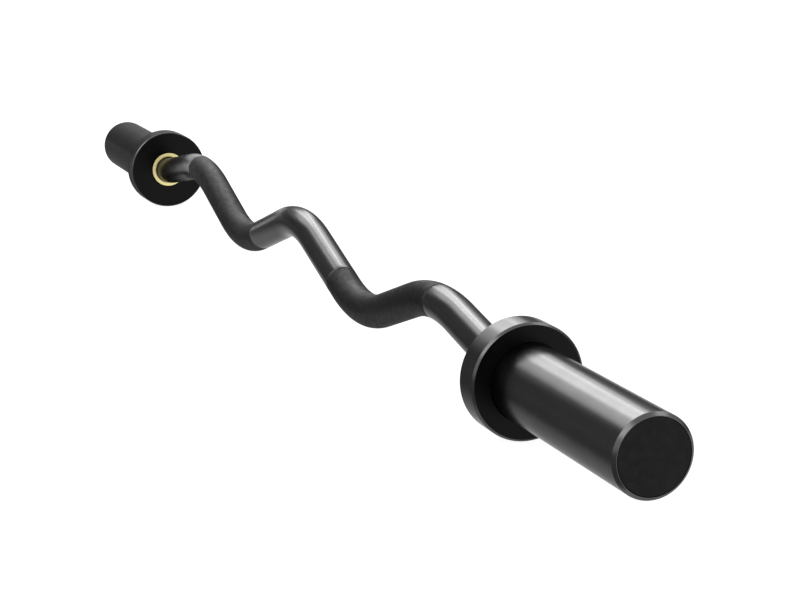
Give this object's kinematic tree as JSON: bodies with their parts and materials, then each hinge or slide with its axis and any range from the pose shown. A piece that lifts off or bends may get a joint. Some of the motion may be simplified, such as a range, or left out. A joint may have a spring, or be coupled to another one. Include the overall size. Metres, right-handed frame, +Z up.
{
  "type": "olympic curl bar",
  "caption": "Bent black steel barbell for curls, with knurled angled grips and free-turning plate sleeves behind flange collars.",
  "frame": {"origin": "on the sleeves' common axis, halfway along the bar", "axes": "+X along the bar towards the right sleeve; +Z up, in the plane of the shaft's bends, with the middle bend upwards; +Y completes the frame"},
  "size_m": [1.2, 0.075, 0.075],
  "materials": {
    "black_shaft": "satin",
    "black_sleeve": "satin",
    "black_collar": "satin",
    "black_cap": "matte",
    "bronze": "satin",
    "washer_steel": "satin",
    "spring_steel": "satin",
    "o_ring": "matte"
  },
  "bodies": {
    "shaft": {"shaft": "black_shaft", "right_shaft_snap_ring": "spring_steel", "left_shaft_snap_ring": "spring_steel"},
    "right_sleeve_assembly": {"right_sleeve": "black_sleeve", "right_collar": "black_collar", "right_inner_bushing": "bronze", "right_outer_bushing": "bronze", "right_bushing_snap_ring": "spring_steel", "right_end_cap": "black_cap", "right_cap_o_ring": "o_ring"},
    "left_sleeve_assembly": {"left_sleeve": "black_sleeve", "left_collar": "black_collar", "left_inner_bushing": "bronze", "left_outer_bushing": "bronze", "left_bushing_snap_ring": "spring_steel", "left_end_cap": "black_cap", "left_cap_o_ring": "o_ring"},
    "right_inner_thrust_washer": {"right_inner_thrust_washer": "washer_steel"},
    "right_outer_thrust_washer": {"right_outer_thrust_washer": "washer_steel"},
    "left_inner_thrust_washer": {"left_inner_thrust_washer": "washer_steel"},
    "left_outer_thrust_washer": {"left_outer_thrust_washer": "washer_steel"}
  },
  "joints": [
    {"name": "right_sleeve_spin", "type": "hinge", "parent": "shaft", "child": "right_sleeve_assembly", "pos_m": [0.42, 0, 0], "axis": [1, 0, 0], "continuous": true},
    {"name": "left_sleeve_spin", "type": "hinge", "parent": "shaft", "child": "left_sleeve_assembly", "pos_m": [-0.42, 0, 0], "axis": [-1, 0, 0], "continuous": true},
    {"name": "right_inner_washer_spin", "type": "hinge", "parent": "shaft", "child": "right_inner_thrust_washer", "pos_m": [0.5453, 0, 0], "axis": [1, 0, 0], "continuous": true},
    {"name": "right_outer_washer_spin", "type": "hinge", "parent": "shaft", "child": "right_outer_thrust_washer", "pos_m": [0.5733, 0, 0], "axis": [1, 0, 0], "continuous": true},
    {"name": "left_inner_washer_spin", "type": "hinge", "parent": "shaft", "child": "left_inner_thrust_washer", "pos_m": [-0.5453, 0, 0], "axis": [-1, 0, 0], "continuous": true},
    {"name": "left_outer_washer_spin", "type": "hinge", "parent": "shaft", "child": "left_outer_thrust_washer", "pos_m": [-0.5733, 0, 0], "axis": [-1, 0, 0], "continuous": true}
  ]
}
